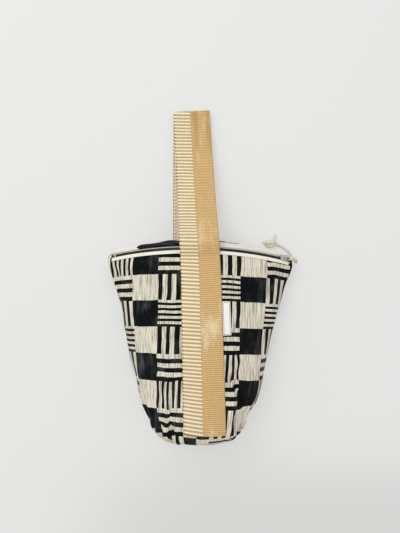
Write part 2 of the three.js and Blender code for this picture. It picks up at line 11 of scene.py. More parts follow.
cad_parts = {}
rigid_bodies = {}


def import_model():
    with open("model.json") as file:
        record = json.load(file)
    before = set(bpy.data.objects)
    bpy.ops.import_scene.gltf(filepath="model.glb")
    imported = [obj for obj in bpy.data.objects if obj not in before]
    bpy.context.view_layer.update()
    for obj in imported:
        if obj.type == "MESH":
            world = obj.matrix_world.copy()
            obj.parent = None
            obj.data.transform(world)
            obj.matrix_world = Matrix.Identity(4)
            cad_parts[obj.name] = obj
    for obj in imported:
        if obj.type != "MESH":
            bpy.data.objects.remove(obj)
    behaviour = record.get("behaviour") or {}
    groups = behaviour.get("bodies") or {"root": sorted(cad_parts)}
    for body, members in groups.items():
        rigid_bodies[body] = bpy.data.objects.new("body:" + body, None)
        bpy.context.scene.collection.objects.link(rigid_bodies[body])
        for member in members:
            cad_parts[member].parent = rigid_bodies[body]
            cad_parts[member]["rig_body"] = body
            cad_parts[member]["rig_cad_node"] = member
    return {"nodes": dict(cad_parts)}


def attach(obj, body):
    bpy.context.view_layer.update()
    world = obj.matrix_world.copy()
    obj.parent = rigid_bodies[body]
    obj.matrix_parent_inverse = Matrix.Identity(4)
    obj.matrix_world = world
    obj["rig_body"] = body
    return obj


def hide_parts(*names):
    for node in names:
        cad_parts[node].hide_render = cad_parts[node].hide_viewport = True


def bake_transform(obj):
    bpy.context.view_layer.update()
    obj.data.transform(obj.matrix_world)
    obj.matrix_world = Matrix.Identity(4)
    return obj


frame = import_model()
scene = bpy.context.scene
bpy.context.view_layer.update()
print("frame loaded")

mm = 0.001
bag = {
    "mouthHalfWidth": 124.0, "zipRise": 45.0, "cornerRise": 16.0, "zipBow": 14.0,
    "length": 245.0, "depth": 89.0, "backBulge": 11.6, "floorCloth": 2.5, "clothLevel": 2.2,
    "mouthFlat": 6.0, "slitHalf": 3.2, "slitEnd": 119.6, "clothThickness": 1.2,
    "columns": 150, "rows": 190, "frameShift": 24.6204,
}


# Small helpers
def deselectAll():
    for item in bpy.context.selected_objects:
        item.select_set(False)


def pick(item):
    deselectAll()
    item.select_set(True)
    bpy.context.view_layer.objects.active = item


def applyModifiers(item):
    pick(item)
    for modifier in list(item.modifiers):
        bpy.ops.object.modifier_apply(modifier=modifier.name)


def linear(red, green, blue):  # a screen colour as the shader's own numbers
    share = np.array([red, green, blue]) / 255
    low, high = share / 12.92, ((share + 0.055) / 1.055) ** 2.4
    return (*np.where(share <= 0.04045, low, high).tolist(), 1)


def smooth(value, low, high):
    share = np.clip((np.asarray(value, float) - low) / (high - low), 0, 1)
    return share * share * (3 - 2 * share)


def reachedAlong(points):  # how far along a line each of its points lies
    steps = norm(np.diff(points, axis=0), axis=1)
    return np.concatenate([[0], np.cumsum(steps)])


def resample(points, count):  # points along a line, at even shares of its length
    reached = reachedAlong(points)
    wanted = np.linspace(0, 1, count + 1) * reached[-1]
    return np.stack([np.interp(wanted, reached, points[:, axis]) for axis in range(3)], 1)


def unit(vectors):
    return vectors / np.maximum(norm(vectors, axis=-1, keepdims=True), 1e-9)


def smoothCurve(knots, perSpan):  # a curve through knots, whose first axis runs along it
    knots = np.asarray(knots, float)
    first, last = 2 * knots[:1] - knots[1:2], 2 * knots[-1:] - knots[-2:-1]
    ends = np.concatenate([first, knots, last])
    gaps = np.maximum(np.sqrt(norm(np.diff(ends, axis=0), axis=-1, keepdims=True)), 1e-3)
    made = []
    for k in range(len(knots) - 1):
        a, b, c, d = ends[k:k + 4]
        before, here, after = gaps[k:k + 3]
        leave = ((b - a) / before - (c - a) / (before + here) + (c - b) / here) * here
        arrive = ((c - b) / here - (d - b) / (here + after) + (d - c) / after) * here
        for t in np.arange(perSpan) / perSpan:
            made.append(
                b * (2 * t**3 - 3 * t**2 + 1) + leave * (t**3 - 2 * t**2 + t)
                + c * (3 * t**2 - 2 * t**3) + arrive * (t**3 - t**2)
            )
    made.append(knots[-1])
    return np.array(made)


def fetched(items, key, width=1, kind=float):  # one number or row of numbers from each item of a mesh
    values = np.zeros(len(items) * width, kind)
    items.foreach_get(key, values)
    return values.reshape(-1, width) if width > 1 else values


# A sheet of points[row, column] in millimetres, with its flat places and, if tagged, each corner's number
def gridPiece(name, points, flat, tagged=False):
    rows, columns = points.shape[:2]
    deselectAll()
    bpy.ops.mesh.primitive_grid_add(x_subdivisions=columns - 1, y_subdivisions=rows - 1, size=2)
    piece = bpy.context.object
    piece.name = piece.data.name = name
    start = fetched(piece.data.vertices, "co", 3)
    column = np.rint((start[:, 0] + 1) / 2 * (columns - 1)).astype(int)
    row = np.rint((start[:, 1] + 1) / 2 * (rows - 1)).astype(int)
    places = (points[row, column] + (0, bag["frameShift"], 0)) * mm
    piece.data.vertices.foreach_set("co", places.ravel())
    corners = fetched(piece.data.loops, "vertex_index", kind=int)
    piece.data.uv_layers[0].data.foreach_set("uv", (flat[row, column] * mm)[corners].ravel())
    if tagged:
        tag = piece.data.attributes.new("place", "INT", "POINT")
        tag.data.foreach_set("value", (row * columns + column).astype(np.int32))
    piece.data.update()
    return piece


def openMerged(piece):  # edit mode, all selected, with the corners that meet merged
    pick(piece)
    bpy.ops.object.mode_set(mode="EDIT")
    bpy.ops.mesh.select_all(action="SELECT")
    bpy.ops.mesh.remove_doubles(threshold=1e-6)


def rollUp(piece):  # a sheet whose first and last columns meet becomes a closed tube
    openMerged(piece)
    bpy.ops.mesh.select_all(action="DESELECT")
    bpy.ops.mesh.select_mode(type="EDGE")
    bpy.ops.mesh.select_non_manifold()
    bpy.ops.mesh.fill_holes(sides=0)
    bpy.ops.mesh.select_all(action="SELECT")
    bpy.ops.mesh.normals_make_consistent(inside=False)
    bpy.ops.object.mode_set(mode="OBJECT")
    return piece


def thicken(piece, thickness, offset):
    shell = piece.modifiers.new("shell", "SOLIDIFY")
    shell.thickness = thickness * mm
    shell.offset = offset
    applyModifiers(piece)


def cover(piece, finish, angle=40):
    piece.data.materials.clear()
    piece.data.materials.append(finishes[finish])
    pick(piece)
    bpy.ops.object.shade_smooth_by_angle(angle=radians(angle))


def dress(piece, body, finish, nodes, angle=40):
    cover(piece, finish, angle)
    if body:
        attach(piece, body)
    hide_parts(*nodes)


def putInScene(name, data, place, turn):
    item = bpy.data.objects.new(name, data)
    item.location = place
    item.rotation_euler = turn
    scene.collection.objects.link(item)
    return item


# Camera: straight above the bag
def makeCamera():
    camera = {"height": 0.6, "forward": 0.0017, "turn": 1.25, "lens": 29.15, "sensor": 36}
    data = bpy.data.cameras.new("camera")
    data.lens = camera["lens"]
    data.sensor_width = camera["sensor"]
    place = (0, camera["forward"], camera["height"])
    scene.camera = putInScene("camera", data, place, (0, 0, radians(camera["turn"])))


makeCamera()
print("camera made")


# Material helpers
class Nodes:  # wires shader nodes
    def __init__(self, tree):
        self.tree = tree
        self.shader = tree.nodes.get("Principled BSDF")

    def add(self, kind, settings=None, **inputs):
        node = self.tree.nodes.new(f"ShaderNode{kind}")
        for key, value in (settings or {}).items():
            setattr(node, key, value)
        for key, value in inputs.items():
            self.put(node, key, value)
        return node

    def put(self, node, key, value):  # key is a socket's name or number
        if isinstance(value, bpy.types.NodeSocket):
            self.tree.links.new(value, node.inputs[key])
        else:
            node.inputs[key].default_value = value

    def set(self, key, value):
        self.put(self.shader, key, value)

    def bump(self, height, distance):
        node = self.add("Bump", Height=height, Distance=distance, Strength=1.0)
        self.set("Normal", node.outputs[0])

    def colour(self, tone, shade):
        self.set("Base Color", self.add("HueSaturation", Value=shade, Color=tone).outputs[0])

    def fill(self, node, *values):
        for place, value in enumerate(values):
            self.put(node, place, value)
        return node.outputs[0]

    def sum(self, operation, *values, clamp=False):
        return self.fill(self.add("Math", {"operation": operation, "use_clamp": clamp}), *values)

    def times(self, *values):
        return self.sum("MULTIPLY", *values)

    def timesPlus(self, *values):
        return self.sum("MULTIPLY_ADD", *values)

    def step(self, value, low, high, fromValue=0.0, toValue=1.0):
        node = self.add("MapRange", {"interpolation_type": "SMOOTHSTEP"})
        return self.fill(node, value, low, high, fromValue, toValue)

    def mix(self, share, first, second):
        node = self.add("Mix", {"data_type": "RGBA"})
        for place, value in ((0, share), (6, first), (7, second)):
            self.put(node, place, value)
        return node.outputs[2]

    def noise(self, vector, scale, detail=2.0, roughness=0.5, start=(0, 0, 0)):  # scale may differ by axis
        if isinstance(scale, tuple):
            vector = self.add("Mapping", Vector=vector, Scale=scale, Location=start).outputs[0]
            scale = 1.0
        node = self.add("TexNoise", Vector=vector, Scale=scale, Detail=detail, Roughness=roughness)
        return node.outputs[0]

    def axes(self, vector):
        return self.add("SeparateXYZ", Vector=vector).outputs

    def show(self, output, *parts):  # a share and two shaders, mixed and shown
        self.put(self.tree.nodes[output], "Surface", self.fill(self.add("MixShader"), *parts))


def makeWeaveGroup():  # a plain weave: threads over and under each other, with uneven yarns
    tree = bpy.data.node_groups.new("plainWeave", "ShaderNodeTree")
    for title, kind, way in (
        ("Flat", "Vector", "INPUT"), ("Thread", "Float", "INPUT"), ("Uneven", "Float", "INPUT"),
        ("Height", "Float", "OUTPUT"), ("Shade", "Float", "OUTPUT"),
    ):
        tree.interface.new_socket(title, in_out=way, socket_type=f"NodeSocket{kind}")
    make, start, end = Nodes(tree), tree.nodes.new("NodeGroupInput"), tree.nodes.new("NodeGroupOutput")
    flat, thread, uneven = (start.outputs[i] for i in range(3))
    parts = make.axes(flat)
    waves = [make.sum("SINE", make.sum("DIVIDE", make.times(parts[i], pi), thread)) for i in range(2)]
    height = make.timesPlus(make.times(*waves), 0.5, 0.5)
    yarns = [make.noise(flat, scale, 3.0, 0.6) for scale in ((900, 60, 1), (60, 900, 1))]
    mixed = make.times(make.sum("ADD", *yarns), 0.5)
    swing = make.times(make.sum("SUBTRACT", mixed, 0.5), uneven)
    make.put(end, "Height", make.sum("ADD", height, swing))
    # Shade: darker where the threads dip under, a painted shade of the weave, plus the yarns' uneven tone.
    make.put(end, "Shade", make.sum("ADD", make.timesPlus(height, 0.12, 0.94), swing))
    return tree


weaveGroup = makeWeaveGroup()


def newMaterial(name):
    material = bpy.data.materials.new(name)
    material.use_nodes = True
    return material, Nodes(material.node_tree)


def flatPlace(make):
    return make.add("UVMap", {"uv_map": "UVMap"}).outputs[0]


def weave(make, flat, thread, uneven):
    group = make.add("Group", {"node_tree": weaveGroup}, Flat=flat, Thread=thread, Uneven=uneven)
    return group.outputs["Height"], group.outputs["Shade"]


# Patchwork cloth: striped and plain blocks, woven in black and natural yarn. Behind the mouth it is plain,
# and darkFrom says where the dark starts there: across, down and its slant.
def makeClothMaterial(name, shift, darkFrom):
    cloth = {
        "cell": (0.036, 0.033), "stripes": 3.0, "moreStripes": 2.0, "waver": 0.0016,
        "thread": 0.0007, "uneven": 0.35, "yoke": (0.136, 0.033), "soft": 0.0003,
        "cream": linear(226, 220, 204), "slub": linear(162, 154, 130), "black": linear(9, 11, 12),
        # plain: paler than cream, painted light on the cloth behind the mouth
        # shine: a painted sheen on the black blocks
        "shine": linear(76, 80, 84), "plain": linear(238, 234, 224),
        "roughness": 0.86, "blackRoughness": 0.64, "specular": 0.08, "sheen": 0.02, "bump": 0.00018,
    }
    material, make = newMaterial(name)
    flat, soft = flatPlace(make), cloth["soft"]
    waver = make.add("TexNoise", Vector=flat, Scale=55.0, Detail=2.0)
    wobble = make.add("VectorMath", {"operation": "MULTIPLY_ADD"})
    place = make.fill(wobble, waver.outputs[1], (cloth["waver"], cloth["waver"], 0), flat)
    across, down, _ = make.axes(make.add("Mapping", Vector=place, Location=(*shift, 0)).outputs[0])
    cells = [make.sum("DIVIDE", value, size) for value, size in zip((across, down), cloth["cell"])]
    whole = [make.sum("FLOOR", cell) for cell in cells]
    kind = make.sum("FLOORED_MODULO", make.timesPlus(whole[1], 2.0, whole[0]), 4.0)
    order = make.sum("FLOORED_MODULO", make.sum("ADD", *whole), 3.0)
    finer = make.sum("COMPARE", order, 0.0, 0.1)
    stripes = make.timesPlus(finer, cloth["moreStripes"], cloth["stripes"])
    inRows, inColumns = (
        make.sum("GREATER_THAN", make.sum("FRACT", make.times(make.sum("FRACT", cell), stripes)), 0.5)
        for cell in cells[::-1]
    )
    isRows, isSolid, isColumns = (make.sum("COMPARE", kind, number, 0.1) for number in (0.0, 1.0, 2.0))
    dark = make.sum("ADD", make.times(isRows, inRows), make.times(isColumns, inColumns))
    dark = make.sum("ADD", dark, isSolid, clamp=True)
    behind, below = shift[0] + cloth["yoke"][0], cloth["yoke"][1]
    yoke = make.times(make.step(across, behind, behind + soft), make.step(down, below, below - soft))
    slanted = make.timesPlus(down, -darkFrom[2], across)
    darkAcross = make.step(slanted, shift[0] + darkFrom[0], shift[0] + darkFrom[0] + soft)
    darkYoke = make.times(darkAcross, make.step(down, darkFrom[1] - soft, darkFrom[1]))
    dark = make.timesPlus(yoke, darkYoke, make.times(dark, make.sum("SUBTRACT", 1.0, yoke)))
    height, shade = weave(make, flat, cloth["thread"], cloth["uneven"])
    streaks = make.noise(flat, (700, 34, 1), 3.0, 0.65)
    slub = make.step(streaks, 0.44, 0.64)
    # Painted light: the plain cloth behind the mouth is paler than the cream blocks, for light on cloth that
    # faces the lamp.
    cream = make.mix(yoke, make.mix(slub, cloth["cream"], cloth["slub"]), cloth["plain"])
    # Painted sheen: lighter blue-grey patches on the black blocks stand in for light on folds that face the
    # lamp.
    sheenSpots = make.noise(flat, (44, 18, 1), 5.0, 0.62, (3, 7, 0))
    black = make.mix(make.step(sheenSpots, 0.48, 0.78), cloth["black"], cloth["shine"])
    shade = make.times(shade, make.step(make.noise(flat, 22.0, 3.0), 0.3, 0.7, 0.95, 1.05))
    make.colour(make.mix(dark, cream, black), shade)
    make.set("Roughness", make.step(dark, 0.0, 1.0, cloth["roughness"], cloth["blackRoughness"]))
    make.set("Specular IOR Level", cloth["specular"])
    make.set("Sheen Weight", cloth["sheen"])
    make.set("Sheen Roughness", 0.4)
    make.bump(make.sum("ADD", height, make.times(slub, 0.4)), cloth["bump"])
    return material


# Webbing: raised natural ribs on the left part, a fine gold weave on the right part
strap = {
    "width": 50.0, "thickness": 1.5, "ribPitch": 4.67, "ribHeight": 0.5, "ribbedTo": -2.0,
    "sewnLean": 2.6, "loopLean": 4.7, "backLean": 1.0, "backShift": -13.0, "rootY": -10.147,
    "frontEnd": 219.2, "backEnd": 221.7, "rowStep": 0.78, "skew": 0.08, "buckle": 1.1,
    "endCut": (4.9, 2.3, -1.2), "innerFace": 100,
}


def makeWebbingMaterial(name):
    webbing = {
        "rib": linear(254, 240, 205), "groove": linear(194, 168, 120), "gold": linear(232, 195, 136),
        "glint": linear(252, 230, 190), "furrow": linear(190, 150, 90), "edge": linear(128, 74, 56),
        "selvage": linear(168, 130, 78), "lining": linear(243, 227, 203), "roughness": (0.62, 0.44),
        # the worn spot's place and reach: where wear and a painted highlight lighten the gold weave
        "thread": 0.0008, "warpPitch": 0.0026, "wornGlintAt": 0.090, "wornGlintReach": 0.030,
        # painted shade near the loop's fold: its pitch across the band, and where it starts and ends along
        # it
        "buckleShadePitch": 0.0175, "buckleShadeFrom": -0.130, "buckleShadeTo": -0.195,
        # stitches between the ribs: where they lie across the band, their half width and strength
        "stitches": ((-24.4, 0.6, 0.75), (76, 0.7, 0.9), (79.2, 0.5, 0.8)),
    }
    material, make = newMaterial(name)

    def wave(value, factor, offset=0.0):
        return make.sum("COSINE", make.timesPlus(value, factor, offset))

    flat, half, inner = flatPlace(make), strap["width"] / 2, strap["innerFace"]
    across, ahead, _ = make.axes(flat)
    turn = make.sum("DIVIDE", ahead, strap["ribPitch"] * mm)
    onRib = make.step(wave(turn, 2 * pi), 0.35, -0.35)
    ribbed = make.step(across, (strap["ribbedTo"] + 0.3) * mm, (strap["ribbedTo"] - 0.3) * mm)
    ribbed = make.sum("MAXIMUM", ribbed, make.sum("COMPARE", across, (inner - half) * mm, half * mm))
    height, shade = weave(make, flat, webbing["thread"], 0.7)
    cords = make.step(wave(turn, 4 * pi), -0.9, 0.1)
    warps = make.step(wave(across, 2 * pi / webbing["warpPitch"], -pi / 2), -0.8, 0.2)
    raised = make.times(cords, make.timesPlus(warps, 0.24, 0.76))
    # Glint: lighter patches on the gold weave, partly wear and partly a painted highlight, strongest round
    # the worn spot.
    wearAndGlint = make.noise(flat, (42, 13, 1), 4.0, 0.65)
    fromWornGlint = make.sum("ABSOLUTE", make.sum("SUBTRACT", ahead, webbing["wornGlintAt"]))
    flecks = make.noise(flat, (260, 420, 1), 2.0, 0.7)
    sheenSpots = make.timesPlus(flecks, 0.25, make.sum("SUBTRACT", wearAndGlint, 0.125))
    sheenSpots = make.timesPlus(make.step(fromWornGlint, webbing["wornGlintReach"], 0.0), 0.14, sheenSpots)
    gold = make.mix(raised, webbing["furrow"], webbing["gold"])
    gold = make.mix(make.times(make.step(sheenSpots, 0.52, 0.78), 0.85), gold, webbing["glint"])
    # Painted shade: dark furrow-coloured streaks across the gold near the loop's fold stand in for the shade
    # of soft buckles.
    uneven = make.noise(flat, (90, 22, 1), 3.0, 0.55, (1.6, 2, 0))
    buckleShade = wave(across, 2 * pi / webbing["buckleShadePitch"], -1.6)
    buckleShade = make.step(make.timesPlus(uneven, 2.4, buckleShade), 1.0, 2.3)
    buckleShade = make.times(buckleShade, make.step(ahead, webbing["buckleShadeFrom"], webbing["buckleShadeTo"]))
    gold = make.mix(make.times(buckleShade, 0.72), gold, webbing["furrow"])
    left = make.mix(onRib, webbing["groove"], webbing["rib"])
    isInner = make.step(across, (inner / 2 - 1) * mm, (inner / 2 + 1) * mm)
    left = make.mix(make.times(isInner, 0.9), left, webbing["lining"])
    colour = make.mix(ribbed, gold, left)
    between = make.sum("SUBTRACT", 1.0, onRib)
    for place, width, amount in webbing["stitches"]:
        stitch = make.times(make.sum("COMPARE", across, place * mm, width * mm), between)
        colour = make.mix(make.times(stitch, amount), colour, webbing["edge"])
    # Lines: the selvage, the dark line at the front end (partly the cut edge's colour, partly a painted
    # shadow at the strap's end) and the line where the ribs stop.
    for axis, place, width, amount, tone in (
        (across, half, 0.9, 0.5, "selvage"), (ahead, strap["frontEnd"], 0.8, 0.7, "edge"),
        (across, strap["ribbedTo"], 0.4, 0.2, "edge"),
    ):
        line = make.sum("COMPARE", axis, place * mm, width * mm)
        colour = make.mix(make.times(line, amount), colour, webbing[tone])
    make.colour(colour, shade)
    make.set("Roughness", make.step(wearAndGlint, 0.3, 0.7, *webbing["roughness"]))
    make.set("Specular IOR Level", 0.3)
    make.bump(make.timesPlus(raised, 1.4, height), 0.0003)
    return material


label = {
    "half": 25.4, "top": 57.4, "length": 41.0, "width": 9.8, "thickness": 0.5, "gap": 0.6, "lift": 0.9,
    "frameInset": 0.9, "frameWidth": 0.5, "plain": linear(238, 237, 232), "frame": linear(96, 94, 90),
}


def labelTone(make, flat):  # plain, with a thin line round it
    across, down, _ = make.axes(flat)
    spans = ((across, label["half"], label["width"]), (down, label["top"], label["length"]))

    def box(inset):
        return make.times(*(
            make.sum("COMPARE", axis, (start + size / 2) * mm, (size / 2 - inset) * mm)
            for axis, start, size in spans
        ))

    line = make.sum("SUBTRACT", box(label["frameInset"]), box(label["frameInset"] + label["frameWidth"]))
    return make.mix(line, label["plain"], label["frame"])


def makeYarnMaterial(name, tone, thread, distance=0.00015, roughness=0.85):  # tone may go by place
    material, make = newMaterial(name)
    flat = flatPlace(make)
    height, shade = weave(make, flat, thread, 0.35)
    colour = tone(make, flat) if callable(tone) else tone
    make.colour(colour, shade)
    make.set("Roughness", roughness)
    make.set("Specular IOR Level", 0.2)
    make.bump(height, distance)
    return material


def makeHardMaterial(name, tone, roughness, metallic):
    material, make = newMaterial(name)
    place = make.add("TexCoord").outputs["Object"]
    grain = make.noise(place, 900.0, 4.0, 0.6)
    wide = make.noise(place, 60.0, 2.0)
    make.colour(tone, make.step(wide, 0.3, 0.7, 0.9, 1.1))
    make.set("Roughness", make.step(grain, 0.3, 0.7, roughness - 0.06, roughness + 0.08))
    make.set("Metallic", metallic)
    make.bump(grain, 0.00003)
    return material


finishes = {
    "rightCloth": makeClothMaterial("patchworkRight", (0.054, 0.0), (0.226, 0.0195, 0.0)),
    "leftCloth": makeClothMaterial("patchworkLeft", (0.126, 0.0), (0.172, 0.0, 1.5)),
    "webbing": makeWebbingMaterial("goldWebbing"),
    "binding": makeYarnMaterial("naturalBinding", linear(236, 232, 221), 0.0006),
    "tape": makeYarnMaterial("zipTapeWeave", linear(228, 223, 210), 0.0005),
    "cord": makeYarnMaterial("cottonCord", linear(216, 208, 190), 0.0005, 0.0001),
    "label": makeYarnMaterial("labelWeave", labelTone, 0.0003, 0.00004, 0.75),
    "teeth": makeHardMaterial("darkTeeth", linear(26, 26, 28), 0.42, 0.0),
    "metal": makeHardMaterial("zipMetal", linear(196, 194, 188), 0.3, 1.0),
}
print("materials made")

# The zip line: an arc whose plane leans toward the mouth
sagitta = hypot(bag["zipBow"], bag["zipRise"] - bag["cornerRise"])
arcRadius = (bag["mouthHalfWidth"] ** 2 + sagitta**2) / (2 * sagitta)
mouthTilt = atan2(bag["zipBow"], bag["zipRise"] - bag["cornerRise"])
arcHalf = asin(bag["mouthHalfWidth"] / arcRadius)
radial = np.array([0, sin(mouthTilt), cos(mouthTilt)])
acrossZip = np.array([0, cos(mouthTilt), -sin(mouthTilt)])
arcCentre = np.array([0, 0, bag["zipRise"]]) - radial * arcRadius


def zipPoint(x, side, level):  # a point beside the zip line, by its place along, across and above it
    x, side, level = np.broadcast_arrays(*(np.asarray(v, float) for v in (x, side, level)))
    reach = arcRadius + level
    rise = np.sqrt(reach**2 - x**2)
    point = arcCentre + rise[..., None] * radial + side[..., None] * acrossZip
    point[..., 0] += x
    return point


def arcShare(share):
    half = sin(arcHalf)
    return np.maximum(0, np.sqrt(1 - (share * half) ** 2) - cos(arcHalf)) / (1 - cos(arcHalf))


# The bag's rings: a closing seam, then the CAD's own stations from the bottom end. A row's names are the
# arguments of bodyStation, mostly as shares of the bag's length, depth and width.
belly = bag["floorCloth"] - 1.2
stationRows = [
    (0.004, 0.995, 0.5, 0.2, 0.984, 0.84, 0.988, 15, 0.5, 0.5),
    (0.14, 0.992, 0.5, 0.18, 0.976, 0.88, 0.98, 12, 0.5, 0.5),
    (0.295, 0.982, 0.49, 0.16, 0.965, 0.94, 0.968, 6, 0.5, 0.4),
    (0.422, 0.960, 0.47, 0.11, 0.947, 0.985, 0.95, 3.4, 0.5, 0.3),
    (0.513, 0.918, 0.43, 0.07, 0.918, 1, 0.922, belly, 0.5, 0.22),
    (0.605, 0.825, 0.37, 0.045, 0.83, 0.98, 0.84, belly, 0.52, 0.16),
    (0.67, 0.706, 0.31, 0.034, 0.7, 0.916, 0.71, belly, 0.55, 0.14),
    (0.785, 0.495, 0.27, 0.034, 0.49, 0.82, 0.5, belly, 0.58, 0.14),
    (0.865, 0.285, 0.236, 0.034, 0.278, 0.725, 0.278, belly, 0.64, 0.14),
    (0.935, 0.17, 0.215, 0.034, 0.139, 0.64, 0.115, belly, 0.76, 0.16),
    (0.975, 0.122, 0.2, 0.036, 0.082, 0.605, 0.012, belly, 0.9, 0.22),
]


def bodyStation(half, side, middle, apart, top, topRise, bottom, bottomRise, roundTop, roundBottom):
    length, depth = bag["length"], bag["depth"]
    sides = [[-side * length, (middle + off) * depth] for off in (apart, -apart)]
    middles = [[-top * length, topRise * depth], [-bottom * length, bottomRise]]
    return half, *sides, *middles, roundTop, roundBottom


def makeStations():  # half width, [y, z] of the sides' two edges and of both middles, and roundness
    def besideZip(x):
        return [zipPoint(x, side * bag["mouthFlat"], bag["clothLevel"])[1:] for side in (-1, 1)]

    (front, back), (corner, backCorner) = besideZip(0), besideZip(bag["mouthHalfWidth"])
    bulge = bag["backBulge"]
    return [bodyStation(*row) for row in stationRows] + [
        (0.99, corner + (-6.4, 0.6), [-20, 12.5], front + (-8.6, 2.5), [0.72 * bulge, 8], 0.96, 0.45),
        (0.997, corner + (-3.4, 0.3), [-12, 12.5], front + (-4.6, 1.4), [bulge, 21], 0.99, 0.56),
        (1, corner, backCorner, front, back, 1, 1),
    ]


def halfRing(station):  # from the front's middle round the right side to the back's middle
    half, sideTop, sideBottom, top, bottom, roundTop, roundBottom = station
    share = np.sin(np.linspace(0, pi / 2, 60))

    def sheet(edge, middle, roundness):
        edge, middle = np.array([edge, middle])
        rise = (arcShare(share) ** roundness)[:, None]
        spread = (share * half * bag["mouthHalfWidth"])[:, None]
        return np.hstack([spread, edge + (middle - edge) * rise])

    front, back = sheet(sideTop, top, roundTop), sheet(sideBottom, bottom, roundBottom)[::-1]
    wall = front[-1] + (back[0] - front[-1]) * np.linspace(0, 1, 8)[1:-1, None]
    return resample(np.vstack([front, wall, back]), bag["columns"])


def slitRing():  # the cloth's inner edge beside the zip
    x = np.linspace(0, bag["slitEnd"], 60)
    front = zipPoint(x, -bag["slitHalf"], bag["clothLevel"])
    back = zipPoint(x, bag["slitHalf"], bag["clothLevel"])[::-1]
    return resample(np.vstack([front, back]), bag["columns"])


def baseSurface():  # the smooth bag: points[row, column] from the mouth down, and the cloth's flat places
    skin = smoothCurve([halfRing(station) for station in makeStations()], 14)[::-1]
    skin = np.concatenate([slitRing()[None], skin])
    points = np.stack([resample(skin[:, j], bag["rows"]) for j in range(skin.shape[1])], 1)
    points[..., 2] = np.maximum(points[..., 2], bag["floorCloth"])
    down = norm(np.diff(points, axis=0), axis=2)
    around = norm(np.diff(points, axis=1), axis=2)
    v = np.vstack([np.zeros(points.shape[1]), np.cumsum(down, axis=0)])
    u = np.hstack([np.zeros((points.shape[0], 1)), np.cumsum(around, axis=1)])
    return points, np.stack([u, v], 2)


def gridNormals(points):
    return unit(np.cross(np.gradient(points, axis=0), np.gradient(points, axis=1)))


basePoints, baseFlat = baseSurface()
baseNormals = gridNormals(basePoints)
print("base surface made")

# The slack cloth's simulation: its own numbers, and the cloth settings
sag = {
    "every": 2, "frames": 26, "cap": 1.6, "hold": 0.05, "blur": 10, "gravity": 0.4,
    "cloth": {
        "quality": 5, "mass": 0.2, "air_damping": 2, "vertex_group_mass": "held", "shrink_min": -0.03,
        "tension_stiffness": 12, "compression_stiffness": 12, "shear_stiffness": 6, "bending_stiffness": 1.5,
    },
}


def fromLegs(x, y):  # how far places lie from the front leg's and the back leg's middle lines
    lean = radians(strap["sewnLean"])
    down = (y - strap["rootY"]) * sin(lean)
    return [np.abs((x - middle) * cos(lean) + down) for middle in (0, strap["backShift"])]


def blurred(values, width):  # a soft average over a grid's rows and its closed columns
    kernel = np.exp(-0.5 * (np.arange(-2 * width, 2 * width + 1) / width) ** 2)
    kernel /= kernel.sum()
    tall = np.concatenate([values[:1].repeat(2 * width, 0), values, values[-1:].repeat(2 * width, 0)])
    tall = sum(k * tall[i:i + len(values)] for i, k in enumerate(kernel))
    return sum(k * np.roll(tall, i - 2 * width, 1) for i, k in enumerate(kernel))


def simulateSag():  # how far the slack cloth moves from the smooth bag, on a coarse grid all round it
    every = sag["every"]
    right = basePoints[::every, ::every]
    ring = np.concatenate([right, (right * (-1, 1, 1))[:, ::-1][:, 1:]], 1)
    rows, columns = ring.shape[:2]
    piece = gridPiece("slack_cloth", ring, np.zeros((rows, columns, 2)), tagged=True)
    v = baseFlat[::every, ::every, 1]
    v = np.concatenate([v, v[:, ::-1][:, 1:]], 1)
    legFront, legBack = fromLegs(ring[..., 0], ring[..., 1])
    leg = np.where(gridNormals(ring)[..., 2] > 0, legFront, legBack)
    free = smooth(leg, 26, 42) * smooth(v, 8, 26)
    held = np.maximum(np.maximum(1 - smooth(leg, 24, 31), 1 - smooth(v, 7, 16)), sag["hold"]).ravel()
    openMerged(piece)
    bpy.ops.object.mode_set(mode="OBJECT")
    places = fetched(piece.data.attributes["place"].data, "value", kind=np.int32)
    group = piece.vertex_groups.new(name="held")
    for index, place in enumerate(places):
        group.add([index], float(held[place]), "REPLACE")
    cloth = piece.modifiers.new("cloth", "CLOTH")
    for key, value in sag["cloth"].items():
        setattr(cloth.settings, key, value)
    cloth.settings.effector_weights.gravity = sag["gravity"]
    cloth.collision_settings.use_collision = False
    for number in range(1, sag["frames"] + 1):
        scene.frame_set(number)
    applyModifiers(piece)
    scene.frame_set(1)
    moved = fetched(piece.data.vertices, "co", 3) * 1000 - (0, bag["frameShift"], 0)
    shift = np.full((rows * columns, 3), np.nan)
    shift[places] = moved - ring.reshape(-1, 3)[places]
    shift = shift.reshape(rows, columns, 3)
    for column, other in ((-1, 0), (0, -1)):
        missing = np.isnan(shift[:, column, 0])
        shift[missing, column] = shift[missing, other]
    shift = np.nan_to_num(shift)
    shift = (blurred(shift, 1) - blurred(shift, sag["blur"])) * free[..., None]
    size = norm(shift, axis=2, keepdims=True)
    shift *= np.tanh(size / sag["cap"]) * sag["cap"] / np.maximum(size, 1e-9)
    bpy.data.objects.remove(piece)
    print("cloth simulated")
    middle = columns // 2
    return shift[:, :middle + 1], shift[:, middle:][:, ::-1]


def upsample(coarse, every):  # a coarse grid's values at every fine row and column
    tall = smoothCurve(coarse, every)
    return np.swapaxes(smoothCurve(np.swapaxes(tall, 0, 1), every), 0, 1)


